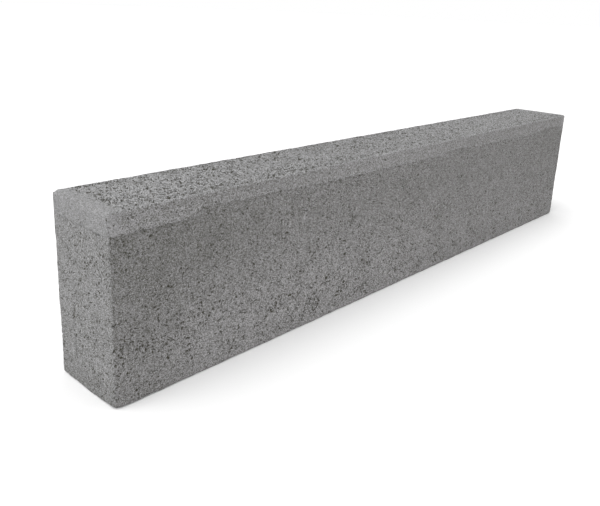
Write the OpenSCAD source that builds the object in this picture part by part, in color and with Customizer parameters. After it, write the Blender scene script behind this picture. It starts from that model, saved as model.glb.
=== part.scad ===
// Precast concrete kerb unit, laid on its base as a parking wheel stop.
//
// The unit is cast in one mould from two batches that bond face to face: a core of coarse
// backing concrete, and a thinner facing mix that forms the top and all four top arrises.
// The seam between the batches steps a little along the unit, as the mixes settled.
//
// X runs along the unit, Y from the front face to the back face and Z up.
// The origin is the centre of the base.

/* [Unit] */
// Length, end face to end face
unit_length = 1000; // [500:10:1500]
// Width, front face to back face
unit_width = 100; // [60:5:300]
// Height, base to top
unit_height = 200; // [100:5:400]

/* [Facing mix] */
// Depth of the facing mix at its thickest, below the top
facing_depth = 24; // [12:1:60]

/* [Arrises] */
// Radius of the two long top arrises
top_arris_r = 3; // [1:0.5:20]
// Radius of the top arrises at the two ends
end_arris_r = 6; // [1:0.5:20]
// Radius of the upright corner arrises
corner_arris_r = 3; // [1:0.5:12]
// Radius of the base arrises
base_arris_r = 3; // [1:0.5:12]

/* [Hidden] */
$fn = 96;
// How far a cutting block stands out past what it cuts
cut_margin = 10;
// The seam from the left end to the right: share of the length, share of the facing depth
SEAM = [
    [0, 1], [0.095, 1], [0.107, 0.64], [0.15, 0.67], [0.165, 0.79], [0.22, 0.71], [0.24, 0.79],
    [0.3, 0.86], [0.55, 0.92], [0.6, 0.74], [0.65, 0.9], [0.86, 1], [0.92, 0.78], [1, 0.9],
];

// Oblong outline standing on the first axis, centred across, with round top and base corners
module standing_oblong(across, high, top_r, base_r) {
    for (side = [-1, 1]) {
        translate([side * (across / 2 - top_r), high - top_r]) circle(top_r);
        translate([side * (across / 2 - base_r), base_r]) circle(base_r);
    }
    translate([-across / 2 + top_r, high / 2]) square([across - 2 * top_r, high / 2]);
    translate([-across / 2, base_r]) square([across, high - top_r - base_r]);
    translate([-across / 2 + base_r, 0]) square([across - 2 * base_r, high / 2]);
}

// The whole cast unit, the shape that the mould and the trowelled top give it
module cast_unit() {
    intersection() {
        // Cross-section, seen along the unit
        translate([-unit_length / 2, 0, 0])
            rotate([90, 0, 90])
            linear_extrude(unit_length)
            standing_oblong(unit_width, unit_height, top_arris_r, base_arris_r);
        // Long elevation, seen from the front
        translate([0, unit_width / 2, 0])
            rotate([90, 0, 0])
            linear_extrude(unit_width)
            standing_oblong(unit_length, unit_height, end_arris_r, base_arris_r);
        // Plan, seen from above
        translate([0, -unit_width / 2, 0])
            linear_extrude(unit_height)
            standing_oblong(unit_length, unit_width, corner_arris_r, corner_arris_r);
    }
}

// Everything above the seam, cut straight through from front to back
module above_seam() {
    seam_line = [
        for (s = SEAM)
            [(s[0] - 0.5) * unit_length, unit_height - s[1] * facing_depth]
    ];
    left = -unit_length / 2;
    right = unit_length / 2;
    over = unit_height + cut_margin;
    outline = concat(
        [[left - cut_margin, over], [left - cut_margin, seam_line[0][1]]],
        seam_line,
        [[right + cut_margin, seam_line[len(seam_line) - 1][1]], [right + cut_margin, over]]
    );
    translate([0, unit_width / 2 + cut_margin, 0])
        rotate([90, 0, 0])
        linear_extrude(unit_width + 2 * cut_margin)
        polygon(outline);
}

// Backing concrete: the body of the unit, from the base up to the seam
module core_concrete() {
    color([0.44, 0.435, 0.425])
    difference() {
        cast_unit();
        above_seam();
    }
}

// Facing mix: the top layer, bonded to the core along the seam
module facing_mix() {
    color([0.56, 0.56, 0.555])
    intersection() {
        cast_unit();
        above_seam();
    }
}

core_concrete();
facing_mix();
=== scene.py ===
import math

import bpy
import numpy as np
from mathutils import Matrix, Vector


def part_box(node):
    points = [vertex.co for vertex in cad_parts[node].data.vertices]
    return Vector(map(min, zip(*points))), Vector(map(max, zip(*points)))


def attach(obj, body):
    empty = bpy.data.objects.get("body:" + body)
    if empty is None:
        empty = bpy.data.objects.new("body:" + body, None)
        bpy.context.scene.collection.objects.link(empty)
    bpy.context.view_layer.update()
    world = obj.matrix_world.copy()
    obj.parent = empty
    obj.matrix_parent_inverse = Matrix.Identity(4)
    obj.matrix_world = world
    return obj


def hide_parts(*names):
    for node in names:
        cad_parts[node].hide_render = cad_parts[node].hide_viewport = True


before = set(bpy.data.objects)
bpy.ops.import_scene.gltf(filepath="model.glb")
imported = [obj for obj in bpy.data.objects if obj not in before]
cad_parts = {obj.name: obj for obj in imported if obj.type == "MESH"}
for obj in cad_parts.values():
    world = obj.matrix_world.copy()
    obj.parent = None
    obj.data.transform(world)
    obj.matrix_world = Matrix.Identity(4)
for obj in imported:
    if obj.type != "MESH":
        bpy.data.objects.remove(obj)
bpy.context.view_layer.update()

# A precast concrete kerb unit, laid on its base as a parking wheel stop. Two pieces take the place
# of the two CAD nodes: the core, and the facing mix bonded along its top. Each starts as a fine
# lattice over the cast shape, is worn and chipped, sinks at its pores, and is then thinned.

# ---------------------------------------------------------------- sizes, in metres, from the frame
CORE, FACING = "core_concrete", "facing_mix"
core_low, core_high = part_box(CORE)
face_low, face_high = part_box(FACING)
LOW = Vector(map(min, core_low, face_low))
HIGH = Vector(map(max, core_high, face_high))
LENGTH, WIDTH, HEIGHT = HIGH - LOW
FACING_DEPTH = HIGH.z - face_low.z
MM = 0.001

# The seam from left to right, as on the CAD nodes: share of the length, share of the facing depth
SEAM = (
    (0, 1), (0.095, 1), (0.107, 0.64), (0.15, 0.67), (0.165, 0.79), (0.22, 0.71), (0.24, 0.79),
    (0.3, 0.86), (0.55, 0.92), (0.6, 0.74), (0.65, 0.9), (0.86, 1), (0.92, 0.78), (1, 0.9),
)
# Waves that make the seam uneven: length, height and phase
SEAM_WAVES = (
    (31 * MM, 0.35 * MM, 0.4),
    (17 * MM, 0.3 * MM, 2.1),
    (9 * MM, 0.3 * MM, 4.4),
    (5 * MM, 0.2 * MM, 1.3),
)
# The waves run aslant, and drift by so many radians for each metre across the unit
SEAM_SLANT = 0.6
SEAM_DRIFT = 30

# The six faces: axis, place on it, and the side that the face looks to
LEFT, RIGHT = (0, LOW.x, -1), (0, HIGH.x, 1)
FRONT, BACK = (1, LOW.y, -1), (1, HIGH.y, 1)
BASE, TOP = (2, LOW.z, -1), (2, HIGH.z, 1)

# Radius of each kind of arris, and the share of it by which wear varies it
LONG_ARRIS, LONG_WEAR = 3 * MM, 0.2
END_ARRIS, END_WEAR = 6 * MM, 0.15
UPRIGHT_ARRIS, UPRIGHT_WEAR = 2.2 * MM, 0.4
BASE_ARRIS, BASE_WEAR = 2.5 * MM, 0.5
# Waves of that wear: length, height and how far the phase turns them
ARRIS_WAVES = ((83 * MM, 0.5, 1.0), (37 * MM, 0.3, 2.3), (19 * MM, 0.2, 3.7))
# The near base corner has been knocked: what that adds to the radii, and how far from the corner
KNOCK_DEPTH = 3.5 * MM
KNOCK_REACH = 16 * MM

# Strip at each end of the facing mix: trowelled smooth up to the first distance, stamped from the second
STRIP_SMOOTH = 8 * MM
STRIP_END = 19 * MM

# Spacing of each kind of pore and pit, and the noise level below which all but the wide ones open
CORE_PORE, CORE_LARGE_PORE, CORE_WIDE_PORE = 2.3 * MM, 4.6 * MM, 9 * MM
CORE_PORE_LEVEL = 0.338
FACING_PIT, FACING_LARGE_PIT = 2.4 * MM, 4.4 * MM
FACING_PIT_LEVEL = 0.325
CORE_CLUSTER, FACING_CLUSTER, SMALL_CLUSTER = 26 * MM, 24 * MM, 9 * MM

SAND_SIZE = 1.0 * MM
GRIT_SIZE = 5 * MM
WAVE_SIZE = 160 * MM
MOTTLE_SIZE = 24 * MM
BLOTCH_SIZE = 110 * MM
STREAK_SIZE = 3.0 * MM

# In millimetres: what the mould face evens out of a skin's depth, and the least that is left
EVENED_DEPTH = 0.45
LEAST_DEPTH = 0.03

LATTICE = {CORE: 1.1 * MM, FACING: 0.8 * MM}
MOST_TRIANGLES = 190_000
# Each point keeps its place on the mould face, so that a finish follows the pores that it fills
MOULD = "mould_place"
OUTWARD = "outward"
# Stands in for the length of a direction that is nothing, which then stays nothing
NO_LENGTH = 1e-12

# Chips on the arrises: middle as shares of length, width and height, then radius and bite into the arris
CHIPS = (
    ((0.04, 0, 0), 42 * MM, 2.4 * MM),
    ((0.1, 0, 0), 9 * MM, 1.7 * MM),
    ((0.165, 0, 0), 6 * MM, 1.0 * MM),
    ((0.33, 0, 0), 10 * MM, 1.3 * MM),
    ((0.47, 0, 0), 7 * MM, 1.3 * MM),
    ((0.56, 0, 0), 12 * MM, 1.2 * MM),
    ((0.655, 0, 0), 24 * MM, 1.6 * MM),
    ((0.75, 0, 0), 8 * MM, 2.4 * MM),
    ((0.815, 0, 0), 12 * MM, 1.9 * MM),
    ((0.952, 0, 0), 8 * MM, 1.8 * MM),
    ((0, 1, 0.735), 5 * MM, 2.0 * MM),
    ((0, 1, 0.62), 4 * MM, 1.1 * MM),
    ((0, 1, 0.2), 6 * MM, 2.0 * MM),
    ((0, 1, 0.38), 9 * MM, 1.2 * MM),
    ((0, 0, 0.87), 3 * MM, 1.0 * MM),
    ((0, 0, 0.45), 3.5 * MM, 1.1 * MM),
    ((1, 0, 0.786), 5 * MM, 1.5 * MM),
    ((1, 1, 0.42), 7 * MM, 1.8 * MM),
    ((0.18, 0, 1), 4 * MM, 1.3 * MM),
    ((0.335, 0, 1), 5 * MM, 1.5 * MM),
    ((0.74, 0, 1), 5 * MM, 1.2 * MM),
    ((0.24, 1, 1), 6 * MM, 1.6 * MM),
    ((0.57, 1, 1), 8 * MM, 1.6 * MM),
    ((1, 1, 0), 12 * MM, 2.4 * MM),
    ((0.31, 1, 0), 9 * MM, 1.9 * MM),
    ((0.66, 1, 0), 6 * MM, 1.5 * MM),
    ((0.8, 1, 0), 11 * MM, 2.2 * MM),
    ((1, 0.4, 0), 7 * MM, 1.7 * MM),
    ((0, 0.65, 0), 6 * MM, 1.5 * MM),
)


# ---------------------------------------------------------------- node trees written as sums
class Socket:
    """A node's output that takes part in sums: each operator adds the Math node it stands for."""

    def __init__(self, nodes, out):
        self.nodes, self.out = nodes, out

    def _sum(self, operation, a, b):
        return self.nodes.add("ShaderNodeMath", {"operation": operation}, {0: a, 1: b})

    def __add__(self, other):
        return self._sum("ADD", self, other)

    def __radd__(self, other):
        return self._sum("ADD", other, self)

    def __sub__(self, other):
        return self._sum("SUBTRACT", self, other)

    def __rsub__(self, other):
        return self._sum("SUBTRACT", other, self)

    def __mul__(self, other):
        return self._sum("MULTIPLY", self, other)

    def __rmul__(self, other):
        return self._sum("MULTIPLY", other, self)

    def __truediv__(self, other):
        return self._sum("DIVIDE", self, other)

    def __neg__(self):
        return self._sum("MULTIPLY", self, -1.0)


class Nodes:
    """A node tree under construction."""

    def __init__(self, tree):
        self.tree = tree

    def add(self, kind, settings=None, sockets=None, out=0):
        """Adds a node: its settings first, then the values or links of its sockets. Gives back an output."""
        node = self.tree.nodes.new(kind)
        for name, value in (settings or {}).items():
            if name == "stops":
                self._stops(node.color_ramp.elements, value)
            else:
                setattr(node, name, value)
        shown = [s for s in node.inputs if s.enabled]
        for name, value in (sockets or {}).items():
            target = shown[name] if isinstance(name, int) else next(s for s in shown if s.name == name)
            if isinstance(value, Socket):
                self.tree.links.new(value.out, target)
            elif target.type == "RGBA":
                target.default_value = (*value[:3], 1)
            else:
                target.default_value = value
        made = [s for s in node.outputs if s.enabled]
        if not made:
            return None
        return Socket(self, made[out] if isinstance(out, int) else next(s for s in made if s.name == out))

    @staticmethod
    def _stops(elements, stops):
        while len(elements) > 1:
            elements.remove(elements[-1])
        elements[0].position, elements[0].color = stops[0]
        for at, colour in stops[1:]:
            elements.new(at).color = colour

    # Short names for the nodes used most
    def vector(self, operation, a, b=None, scale=None):
        sockets = {0: a}
        if b is not None:
            sockets[1] = b
        if scale is not None:
            sockets["Scale"] = scale
        return self.add("ShaderNodeVectorMath", {"operation": operation}, sockets)

    def split(self, place):
        return [self.add("ShaderNodeSeparateXYZ", {}, {0: place}, out) for out in range(3)]

    def noise(self, place, size, detail=2.0, rough=0.5, warp=0.0):
        """Cloudy noise about 0.5 whose lumps are about size across."""
        return self.add(
            "ShaderNodeTexNoise",
            {},
            {"Vector": place, "Scale": 1 / size, "Detail": detail, "Roughness": rough, "Distortion": warp},
        )

    def ramp(self, value, start, end):
        """0 up to start, 1 from end, and smooth between; start may be the larger."""
        return self.add(
            "ShaderNodeMapRange",
            {"interpolation_type": "SMOOTHSTEP"},
            {"Value": value, "From Min": start, "From Max": end, "To Min": 0.0, "To Max": 1.0},
        )

    def most(self, a, b):
        return self.add("ShaderNodeMath", {"operation": "MAXIMUM"}, {0: a, 1: b})

    def size_of(self, a):
        return self.add("ShaderNodeMath", {"operation": "ABSOLUTE"}, {0: a})

    def blend(self, share, a, b):
        return self.add("ShaderNodeMix", {"data_type": "RGBA"}, {"Factor": share, "A": a, "B": b})

    def shade(self, colour, gain):
        return self.vector("SCALE", colour, scale=gain)


# ---------------------------------------------------------------- patterns shared by shape and finish
def along(nodes, place):
    """Share of the length, from the left end."""
    x, _, _ = nodes.split(place)
    return (x - LOW.x) / LENGTH


def from_end(nodes, place):
    """Distance from the nearer end face."""
    x, _, _ = nodes.split(place)
    return LENGTH / 2 - nodes.size_of(x)


def on_end(nodes, place):
    """1 on the end faces."""
    return nodes.ramp(from_end(nodes, place), 3 * MM, 0.5 * MM)


def end_strip(nodes, place):
    """1 on the smooth strips at the two ends of the facing mix."""
    return nodes.ramp(from_end(nodes, place), STRIP_END, STRIP_SMOOTH)


def from_side(nodes, place):
    """Distance from the nearer of the two long faces."""
    _, y, _ = nodes.split(place)
    return WIDTH / 2 - nodes.size_of(y)


def seam_line(nodes, place):
    """Height of the seam, without its small waves."""
    stops = [(at, (depth, depth, depth, 1)) for at, depth in SEAM]
    share = nodes.add("ShaderNodeValToRGB", {"stops": stops}, {0: along(nodes, place)})
    return HIGH.z - FACING_DEPTH * share


def second_quarter(nodes, place):
    """1 over the second quarter of the length, where the core is a little paler and sandier."""
    share = along(nodes, place)
    return nodes.ramp(share, 0.15, 0.3) * nodes.ramp(share, 0.6, 0.45)


def down(nodes, place):
    """Distance below the top."""
    _, _, z = nodes.split(place)
    return HIGH.z - z


def lip(nodes, place):
    """1 on the two long top arrises, which the mould leaves smooth and where the facing carries a painted
    highlight.
    """
    return nodes.ramp(from_side(nodes, place) + down(nodes, place), 2.8 * MM, 2.1 * MM)


def stamped_top(nodes, place):
    """1 on the rough stamped top, fading to the smooth strips at its two ends and along its arrises."""
    high = nodes.ramp(down(nodes, place), 3 * MM, 1 * MM) * (1 - 0.8 * lip(nodes, place))
    return high * nodes.ramp(from_end(nodes, place), STRIP_SMOOTH, STRIP_END)


def clusters(nodes, place, spread, loosely, closely):
    """A wave about 0 that gathers pores: loosely over each spread, and closely in small groups."""
    wide_wave = nodes.noise(place, spread, detail=1.0) - 0.5
    small_wave = nodes.noise(place, SMALL_CLUSTER) - 0.5
    return loosely * wide_wave + closely * small_wave


def core_pores(nodes, place):
    """1 in the core's open pores: few under the seam and many low down, gathered in clusters.

    Most are small, some large and a few wide.
    """
    _, _, z = nodes.split(place)
    small = nodes.noise(place, CORE_PORE, detail=2.0, rough=0.55, warp=0.35)
    large = nodes.noise(place, CORE_LARGE_PORE, detail=3.0, rough=0.6, warp=0.4)
    wide = nodes.noise(place, CORE_WIDE_PORE, detail=4.0, rough=0.65, warp=0.5)
    gathered = clusters(nodes, place, CORE_CLUSTER, 0.14, 0.16)
    low_down = nodes.ramp(z, 0.85 * HEIGHT, 0.2 * HEIGHT)
    off_base = nodes.ramp(z, 0.0, 0.07 * HEIGHT)
    end = on_end(nodes, place)
    near_left = nodes.ramp(along(nodes, place), 0.3, 0.1) * (1 - end)
    low_pores = (0.04 + 0.008 * near_left) * low_down * off_base
    many = low_pores + end * (0.012 - 0.021 * low_down) - 0.022 * near_left
    level = CORE_PORE_LEVEL + gathered * (0.65 + 0.3 * low_down) + many
    return nodes.most(
        nodes.ramp(small - level, 0.025, -0.025),
        nodes.most(
            nodes.ramp(large - level, -0.01, -0.04),
            nodes.ramp(wide - 0.03 * low_down, 0.27, 0.235),
        ),
    )


def facing_pits(nodes, place):
    """1 in the pits that the stamped top leaves between its grains, and few on the sides."""
    small = nodes.noise(place, FACING_PIT, detail=2.0, rough=0.55, warp=0.35)
    large = nodes.noise(place, FACING_LARGE_PIT, detail=3.0, rough=0.6, warp=0.4)
    gathered = clusters(nodes, place, FACING_CLUSTER, 0.13, 0.13)
    on_top = stamped_top(nodes, place)
    by_edge = nodes.ramp(from_side(nodes, place), 16 * MM, 8 * MM)
    many = (0.095 + 0.02 * by_edge) * on_top
    level = FACING_PIT_LEVEL + gathered + many - 0.03 * end_strip(nodes, place)
    return nodes.most(
        nodes.ramp(small - level, 0.03, -0.03),
        on_top * nodes.ramp(large - level, 0.015, -0.03),
    )


def cast_skin(nodes, place):
    """The slow waves and the grit of a cast skin."""
    waves = nodes.noise(place, WAVE_SIZE, detail=1.0)
    grit = nodes.noise(place, GRIT_SIZE, detail=3.0, rough=0.7)
    return waves, grit


def core_depth(nodes, place):
    """How far the core's skin lies in from its mould face."""
    waves, grit = cast_skin(nodes, place)
    depth = 0.6 * waves + 1.0 * grit + 1.3 * core_pores(nodes, place)
    return nodes.most(depth - EVENED_DEPTH, LEAST_DEPTH) * MM


def facing_depth(nodes, place):
    """How far the facing mix lies in from its mould face, or below its stamped top."""
    on_top = stamped_top(nodes, place)
    waves, grit = cast_skin(nodes, place)
    depth = 0.6 * waves + (1.0 + 1.5 * on_top) * grit + (1.1 + 1.1 * on_top) * facing_pits(nodes, place)
    return nodes.most(depth - EVENED_DEPTH - 0.35 * on_top, LEAST_DEPTH) * MM


# ---------------------------------------------------------------- the cast shape
def seam_height(x, y):
    """Height of the seam between the two concretes."""
    share = (x - LOW.x) / LENGTH
    depth = FACING_DEPTH * np.interp(share, [s for s, _ in SEAM], [d for _, d in SEAM])
    for length, height, phase in SEAM_WAVES:
        turn = 2 * np.pi * (x + SEAM_SLANT * y) / length + phase + SEAM_DRIFT * y
        depth = depth + height * np.sin(turn)
    return HIGH.z - depth


def lattice(xs, ys, zs):
    """Points of the closed skin of a box lattice, and its quads as one sheet for each face."""
    shape = (len(xs), len(ys), len(zs))
    outside = np.zeros(shape, bool)
    for axis in range(3):
        for end in (0, -1):
            outside[tuple(end if a == axis else slice(None) for a in range(3))] = True
    number = np.full(shape, -1, np.int32)
    number[outside] = np.arange(outside.sum())
    i, j, k = np.nonzero(outside)
    points = np.stack([xs[i], ys[j], zs[k]], 1)

    def sheet(grid, turned):
        quads = np.stack([grid[:-1, :-1], grid[1:, :-1], grid[1:, 1:], grid[:-1, 1:]], -1).reshape(-1, 4)
        return quads[:, ::-1] if turned else quads

    sheets = {
        "base": sheet(number[:, :, 0], True),
        "top": sheet(number[:, :, -1], False),
        "front": sheet(number[:, 0, :], False),
        "back": sheet(number[:, -1, :], True),
        "left": sheet(number[0, :, :], True),
        "right": sheet(number[-1, :, :], False),
    }
    return points, sheets


def divide(low, high, step):
    """Even stops from low to high, about a step apart."""
    return np.linspace(low, high, max(2, round((high - low) / step) + 1))


def round_arris(points, face, other, radius):
    """Rounds the arris where two faces meet, by a radius that may vary along it."""
    a, end_a, side_a = face
    b, end_b, side_b = other
    past_a = side_a * (points[:, a] - end_a) + radius
    past_b = side_b * (points[:, b] - end_b) + radius
    inside = (past_a > 0) & (past_b > 0)
    past_a, past_b = past_a[inside], past_b[inside]
    reach = np.maximum(past_a, past_b) / np.hypot(past_a, past_b)
    r = np.broadcast_to(radius, inside.shape)[inside]
    points[inside, a] = end_a + side_a * (past_a * reach - r)
    points[inside, b] = end_b + side_b * (past_b * reach - r)


def worn(radius, share, places, phase):
    """An arris's radius at each place along it, varied by a slow, irregular wave."""
    wave = sum(
        height * np.sin(2 * np.pi * places / length + turn * phase)
        for length, height, turn in ARRIS_WAVES
    )
    return radius * (1 + share * wave)


def wear(points):
    """Rounds all twelve arrises, more where the unit has been knocked."""
    x, y, z = points.T
    corner = np.sqrt((x - LOW.x) ** 2 + (y - LOW.y) ** 2 + (z - LOW.z) ** 2)
    knocked = KNOCK_DEPTH * np.exp(-((corner / KNOCK_REACH) ** 2))
    for side, phase in ((FRONT, 0.0), (BACK, 1.1)):
        round_arris(points, side, TOP, worn(LONG_ARRIS, LONG_WEAR, x, phase))
        round_arris(points, side, BASE, worn(BASE_ARRIS, BASE_WEAR, x, phase + 2) + knocked)
    for end, phase in ((LEFT, 3.0), (RIGHT, 4.2)):
        round_arris(points, end, TOP, worn(END_ARRIS, END_WEAR, y, phase))
        round_arris(points, end, BASE, worn(BASE_ARRIS, BASE_WEAR, y, phase + 2) + knocked)
        for side, turn in ((FRONT, -1), (BACK, 1)):
            round_arris(points, end, side, worn(UPRIGHT_ARRIS, UPRIGHT_WEAR, z, phase + turn) + knocked)


def chip(points):
    """Scoops each chip out of its arris: what lies inside a ball moves out to the ball's surface."""
    middle = (LOW + HIGH) / 2
    for shares, radius, bite in CHIPS:
        at = np.array([LOW[a] + shares[a] * (HIGH[a] - LOW[a]) for a in range(3)])
        out = np.array([0 if 0 < shares[a] < 1 else math.copysign(1, at[a] - middle[a]) for a in range(3)])
        ball = at + out / np.linalg.norm(out) * (radius - bite)
        away = points - ball
        distance = np.linalg.norm(away, axis=1)
        inside = distance < radius
        points[inside] = ball + away[inside] * (radius / distance[inside])[:, None]


def outward(points, sheets, skin_sheets):
    """Each point's outward direction, from the quads of the skin alone: none inside the seam."""
    quads = np.concatenate([sheets[name] for name in skin_sheets])
    across = points[quads[:, 2]] - points[quads[:, 0]]
    over = points[quads[:, 3]] - points[quads[:, 1]]
    normal = np.cross(across, over)
    total = np.zeros_like(points)
    for corner in range(4):
        np.add.at(total, quads[:, corner], normal)
    length = np.linalg.norm(total, axis=1, keepdims=True)
    return total / np.maximum(length, NO_LENGTH)


def sinking(name, depth):
    """Geometry nodes that sink each point inward by depth(nodes, place), but hardly at all on the base."""
    tree = bpy.data.node_groups.new(name, "GeometryNodeTree")
    tree.interface.new_socket("Geometry", in_out="INPUT", socket_type="NodeSocketGeometry")
    tree.interface.new_socket("Geometry", in_out="OUTPUT", socket_type="NodeSocketGeometry")
    nodes = Nodes(tree)
    start = nodes.add("NodeGroupInput")
    place = nodes.add("GeometryNodeInputPosition")
    out = nodes.add("GeometryNodeInputNamedAttribute", {"data_type": "FLOAT_VECTOR"}, {"Name": OUTWARD})
    _, _, up = nodes.split(out)
    on_base = nodes.ramp(up, -0.8, -1.0)
    shift = nodes.vector("SCALE", out, scale=-depth(nodes, place) * (1 - 0.9 * on_base))
    moved = nodes.add("GeometryNodeSetPosition", {}, {"Geometry": start, "Offset": shift})
    nodes.add("NodeGroupOutput", {}, {0: moved})
    return tree


def lattice_mesh(name, points, quads, vectors):
    """A mesh of quads whose points carry the named vectors."""
    mesh = bpy.data.meshes.new(name)
    mesh.vertices.add(len(points))
    mesh.vertices.foreach_set("co", points.astype(np.float32).ravel())
    mesh.loops.add(quads.size)
    mesh.loops.foreach_set("vertex_index", quads.astype(np.int32).ravel())
    mesh.polygons.add(len(quads))
    mesh.polygons.foreach_set("loop_start", np.arange(0, quads.size, 4, dtype=np.int32))
    mesh.update(calc_edges=True)
    for label, values in vectors.items():
        layer = mesh.attributes.new(label, "FLOAT_VECTOR", "POINT")
        layer.data.foreach_set("vector", values.astype(np.float32).ravel())
    return mesh


def sink_and_thin(piece, tree, kept):
    """Sinks the piece's skin by the node tree, then thins it to the kept share of its triangles."""
    piece.modifiers.new("sink", "NODES").node_group = tree
    piece.modifiers.new("thin", "DECIMATE").ratio = kept
    bpy.context.view_layer.update()
    graph = bpy.context.evaluated_depsgraph_get()
    final = bpy.data.meshes.new_from_object(piece.evaluated_get(graph))
    piece.modifiers.clear()
    piece.data = final
    final.attributes.remove(final.attributes[OUTWARD])
    final.polygons.foreach_set("use_smooth", np.ones(len(final.polygons), bool))


def cast(name, thickness, seam_sheet, depth):
    """Builds one concrete piece: lattice, worn arrises, chips, sunk pores, then thinning."""
    step = LATTICE[name]
    xs = divide(LOW.x, HIGH.x, step)
    ys = divide(LOW.y, HIGH.y, step)
    shares = divide(0, thickness, step)
    shares = shares / shares[-1]
    points, sheets = lattice(xs, ys, shares)
    seam = seam_height(points[:, 0], points[:, 1])
    if seam_sheet == "top":
        points[:, 2] = LOW.z + points[:, 2] * (seam - LOW.z)
    else:
        points[:, 2] = seam + points[:, 2] * (HIGH.z - seam)
    wear(points)
    chip(points)
    out = outward(points, sheets, [s for s in sheets if s != seam_sheet])

    quads = np.concatenate(list(sheets.values()))
    mesh = lattice_mesh(name + "_lattice", points, quads, {OUTWARD: out, MOULD: points})
    piece = bpy.data.objects.new(name + "_cast", mesh)
    bpy.context.scene.collection.objects.link(piece)
    sink_and_thin(piece, sinking(name + "_sinking", depth), MOST_TRIANGLES / (2 * len(quads)))
    return piece


# ---------------------------------------------------------------- finishes
CORE_PASTE = (0.208, 0.2045, 0.206)
FACING_PASTE = (0.2335, 0.2302, 0.2332)
# Painted shade in the pores, brown like the other dark tones
PORE_SHADE = (0.044, 0.0405, 0.022)
SAND_PALE = (0.385, 0.384, 0.385)
SAND_DARK = (0.092, 0.0875, 0.068)
# Tints: the open top and ends fade to neutral, and the darker tones, painted shade among them, turn brown
FADED = (0.988, 1.0, 1.0)
BROWN_WHEN_DARK = (1.0, 1.0, 0.87)


def paste_tone(nodes, place):
    """The paste's colour: facing mix above the seam and core below.

    The two are smeared together on the ends, and between a quarter and a third of the way along.
    """
    _, _, z = nodes.split(place)
    end = on_end(nodes, place)
    share = along(nodes, place)
    smear = nodes.ramp(share, 0.25, 0.27) * nodes.ramp(share, 0.33, 0.30)
    soft = (0.8 + 9 * end + 5 * smear) * MM
    seam = seam_line(nodes, place)
    ragged = (nodes.noise(place, 4 * MM, detail=3.0, rough=0.6) - 0.5) * (2.0 * MM + 2 * soft)
    above = nodes.ramp((z - seam + ragged) / soft, -1.0, 1.0)
    paste = nodes.blend(above * (1 - 0.3 * end), CORE_PASTE, FACING_PASTE)
    open_faces = nodes.most(end, nodes.ramp(z, HIGH.z - 3 * MM, HIGH.z - 1 * MM))
    return nodes.blend(open_faces, paste, nodes.vector("MULTIPLY", paste, FADED))


def concrete(name, gain_of, pores_of, sand_of):
    """A dry concrete: paste with fine sand in it, a mottled tone, and open pores darkened with painted
    shade.
    """
    material = bpy.data.materials.new(name)
    material.use_nodes = True
    material.node_tree.nodes.clear()
    nodes = Nodes(material.node_tree)
    place = nodes.add("ShaderNodeAttribute", {"attribute_name": MOULD}, out="Vector")
    grains = nodes.add("ShaderNodeTexVoronoi", {}, {"Vector": place, "Scale": 1 / SAND_SIZE}, "Color")
    grain, kind, _ = nodes.split(grains)
    fine = nodes.noise(place, SAND_SIZE, detail=1.0)
    pores = pores_of(nodes, place)
    sand = sand_of(nodes, place)
    gain = gain_of(nodes, place) * (1 + sand * (1.05 * (grain - 0.5) + 2.2 * (fine - 0.5)))
    colour = nodes.shade(paste_tone(nodes, place), gain)
    # Darker tones, painted shade among them, are tinted brown.
    colour = nodes.blend(nodes.ramp(gain, 0.88, 0.5), colour, nodes.vector("MULTIPLY", colour, BROWN_WHEN_DARK))
    colour = nodes.blend(0.5 * nodes.ramp(kind, 0.93, 0.97), colour, SAND_PALE)
    colour = nodes.blend(0.5 * nodes.ramp(kind, 0.07, 0.03), colour, SAND_DARK)
    # The pores and pits are painted dark with shade.
    colour = nodes.blend(0.85 * pores, colour, PORE_SHADE)
    relief = nodes.add(
        "ShaderNodeBump",
        {},
        {"Strength": 0.8, "Distance": SAND_SIZE, "Height": 0.6 * fine + 0.2 * grain - 0.8 * pores},
    )
    shader = nodes.add(
        "ShaderNodeBsdfPrincipled",
        {},
        {
            "Base Color": colour,
            "Roughness": 0.86 + 0.1 * (fine - 0.5) + 0.08 * pores,
            "Specular IOR Level": 0.3,
            "Normal": relief,
        },
    )
    nodes.add("ShaderNodeOutputMaterial", {}, {"Surface": shader})
    return material


def mottled(nodes, place):
    """The uneven drying of the paste, as a wave about 0."""
    return nodes.noise(place, MOTTLE_SIZE, detail=3.0, rough=1.0) - 0.5


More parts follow.
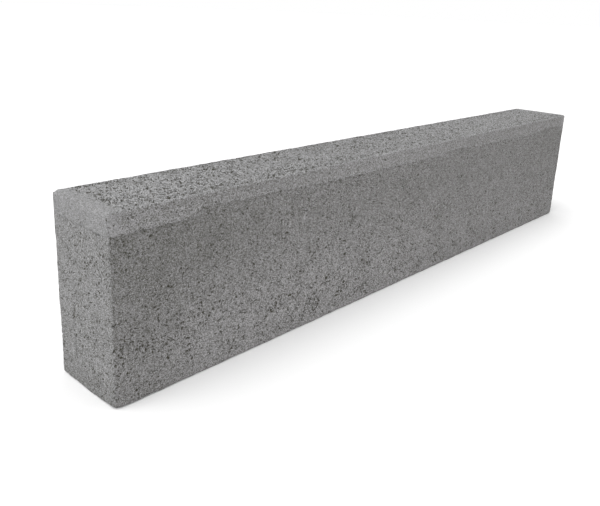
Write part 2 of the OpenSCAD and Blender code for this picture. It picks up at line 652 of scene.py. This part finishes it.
def core_gain(nodes, place):
    """Tone of the core, with painted light and shade: painted floor light low on the long faces, end faces
    painted paler and darker towards the base, and a painted shadow under the seam; darker by the left end,
    and streaked by the mould.
    """
    _, _, z = nodes.split(place)
    share = along(nodes, place)
    blotch = nodes.noise(place, BLOTCH_SIZE, detail=1.0)
    drawn_up = nodes.vector("MULTIPLY", place, (1.0, 1.0, 0.13))
    streak = nodes.noise(drawn_up, STREAK_SIZE, detail=1.0)
    lower = nodes.ramp(z, 0.8 * HEIGHT, 0.12 * HEIGHT)
    left_corner = nodes.ramp(share, 0.12, 0.03)
    left_part = nodes.ramp(share, 0.25, 0.08)
    right_half = nodes.ramp(share, 0.45, 0.6)
    right_part = nodes.ramp(share, 0.8, 0.9)
    # On the long faces the paler lower part is painted floor light; the other terms are their tone.
    long_face_tone_and_light = (
        0.93
        + 0.345 * lower * (1 - 0.35 * right_half)
        + 0.015 * right_half
        + 0.02 * second_quarter(nodes, place)
        - 0.06 * right_part
        - 0.14 * left_part * (1 - lower)
        - 0.26 * left_corner * lower
    )
    # Painted light and shade on the end faces: paler than the long faces, and darker towards the base.
    end_face_light_and_shade = (
        1.13
        - 0.02 * nodes.ramp(z, 0.45 * HEIGHT, 0.65 * HEIGHT)
        - 0.16 * nodes.ramp(z, 0.22 * HEIGHT, 0.0)
    )
    # A painted shadow just under the seam step, over the left part of the unit.
    below = seam_line(nodes, place) - z
    seam_shadow = nodes.ramp(below, 4.0 * MM, 1.5 * MM) * nodes.ramp(share, 0.5, 0.25)
    shade = long_face_tone_and_light - 0.07 * seam_shadow + on_end(nodes, place) * (end_face_light_and_shade - long_face_tone_and_light)
    patchy = 0.27 + 0.13 * nodes.ramp(share, 0.15, 0.5)
    return shade + 0.01 + patchy * mottled(nodes, place) + 0.08 * (blotch - 0.5) + 0.3 * (streak - 0.5)


def facing_gain(nodes, place):
    """Tone of the facing mix: mottled, more so on its rough top, palest at the ends, and with a painted
    highlight on the lips.
    """
    on_top = stamped_top(nodes, place)
    at_end = end_strip(nodes, place)
    depth = down(nodes, place)
    share = along(nodes, place)
    under_lip = nodes.ramp(depth, 2 * MM, 4 * MM) * nodes.ramp(depth, 13 * MM, 7 * MM) * (1 - at_end)
    top_gain = 0.285 - 0.18 * nodes.ramp(share, 0.1, 0.35) + 0.115 * nodes.ramp(share, 0.45, 0.65)
    under_lip = under_lip * (1 - 0.7 * nodes.ramp(share, 0.2, 0.35))
    # The lips carry a painted highlight; the ends are paler, and a band just under the lips is darker, most
    # of all on the left.
    edges = 0.14 * at_end + 0.13 * lip(nodes, place) * (1 - at_end) - 0.055 * under_lip
    side_gain = 1.0 + 0.065 * nodes.ramp(share, 0.2, 0.35) - 0.083 * nodes.ramp(share, 0.5, 0.65)
    return side_gain + edges + top_gain * on_top + (0.45 + 0.35 * on_top) * mottled(nodes, place)


def core_sand(nodes, place):
    """How strongly the sand shows in the core."""
    return 1 - 0.1 * on_end(nodes, place) + 0.15 * second_quarter(nodes, place)


def facing_sand(nodes, place):
    """How strongly the sand shows in the facing mix: weakest where it was trowelled at the ends."""
    return 1 - 0.4 * end_strip(nodes, place)


# ---------------------------------------------------------------- the two pieces
core = cast(CORE, face_low.z - LOW.z, "top", core_depth)
core.data.materials.append(concrete("core concrete", core_gain, core_pores, core_sand))
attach(core, "root")
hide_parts(CORE)

facing = cast(FACING, FACING_DEPTH, "base", facing_depth)
facing.data.materials.append(concrete("facing concrete", facing_gain, facing_pits, facing_sand))
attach(facing, "root")
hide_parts(FACING)


# ---------------------------------------------------------------- floor, light and camera
FLOOR_REACH = 30.0
FLOOR_GREY = 0.93

# The room looks white to the camera, and lights the unit a little less strongly than that
ROOM_LIGHT = 0.84
KEY_LIGHT = 1.62
KEY_SPREAD = math.radians(40)
KEY_AIM = Vector((0.48, -0.02, -0.88))

CAMERA_AZIMUTH = math.radians(-47.46)
CAMERA_ELEVATION = math.radians(16.21)
CAMERA_LEAN = math.radians(2.40)
# From the near corner of the base
CAMERA_PLACE = Vector((-0.2935, -0.4982, 0.3801))
# In millimetres, but for the shift, which is a share of the sensor
SENSOR_WIDTH = 36.0
FOCAL_LENGTH = 39.85
LENS_SHIFT = -0.0883


def studio_floor():
    """A pale floor under the unit, so wide that its edge is lost in the white room."""
    mesh = bpy.data.meshes.new("studio_floor")
    turns = ((-1, -1), (1, -1), (1, 1), (-1, 1))
    corners = [(x * FLOOR_REACH, y * FLOOR_REACH, LOW.z) for x, y in turns]
    mesh.from_pydata(corners, [], [(0, 1, 2, 3)])
    floor = bpy.data.objects.new("studio_floor", mesh)
    bpy.context.scene.collection.objects.link(floor)
    material = bpy.data.materials.new("pale floor")
    material.use_nodes = True
    shader = material.node_tree.nodes["Principled BSDF"]
    shader.inputs["Base Color"].default_value = (FLOOR_GREY, FLOOR_GREY, FLOOR_GREY, 1)
    shader.inputs["Roughness"].default_value = 0.9
    shader.inputs["Specular IOR Level"].default_value = 0.1
    mesh.materials.append(material)


def studio_light():
    """A white room that lights evenly from all sides, and a broad soft key from high on the left."""
    world = bpy.data.worlds.new("studio")
    bpy.context.scene.world = world
    world.use_nodes = True
    world.node_tree.nodes.clear()
    nodes = Nodes(world.node_tree)
    seen = nodes.add("ShaderNodeLightPath", out="Is Camera Ray")
    strength = ROOM_LIGHT + (1 - ROOM_LIGHT) * seen
    room = nodes.add("ShaderNodeBackground", {}, {"Color": (1, 1, 1), "Strength": strength})
    nodes.add("ShaderNodeOutputWorld", {}, {"Surface": room})
    key = bpy.data.lights.new("key", "SUN")
    key.energy = KEY_LIGHT
    key.angle = KEY_SPREAD
    holder = bpy.data.objects.new("key", key)
    holder.rotation_euler = KEY_AIM.to_track_quat("-Z", "Y").to_euler()
    bpy.context.scene.collection.objects.link(holder)


def studio_camera():
    """Stands off the near corner of the base, a little above the unit, and leans slightly."""
    back = Vector((
        math.sin(CAMERA_AZIMUTH) * math.cos(CAMERA_ELEVATION),
        -math.cos(CAMERA_AZIMUTH) * math.cos(CAMERA_ELEVATION),
        math.sin(CAMERA_ELEVATION),
    ))
    right = Vector((0, 0, 1)).cross(back).normalized()
    up = back.cross(right)
    leaning_right = math.cos(CAMERA_LEAN) * right + math.sin(CAMERA_LEAN) * up
    leaning_up = math.cos(CAMERA_LEAN) * up - math.sin(CAMERA_LEAN) * right
    lens = bpy.data.cameras.new("camera")
    lens.sensor_width = SENSOR_WIDTH
    lens.lens = FOCAL_LENGTH
    lens.shift_y = LENS_SHIFT
    holder = bpy.data.objects.new("camera", lens)
    turn = Matrix((leaning_right, leaning_up, back)).transposed().to_4x4()
    holder.matrix_world = Matrix.Translation(LOW + CAMERA_PLACE) @ turn
    bpy.context.scene.collection.objects.link(holder)
    bpy.context.scene.camera = holder


studio_floor()
studio_light()
studio_camera()
bpy.context.scene.view_settings.view_transform = "Standard"

bpy.context.view_layer.update()
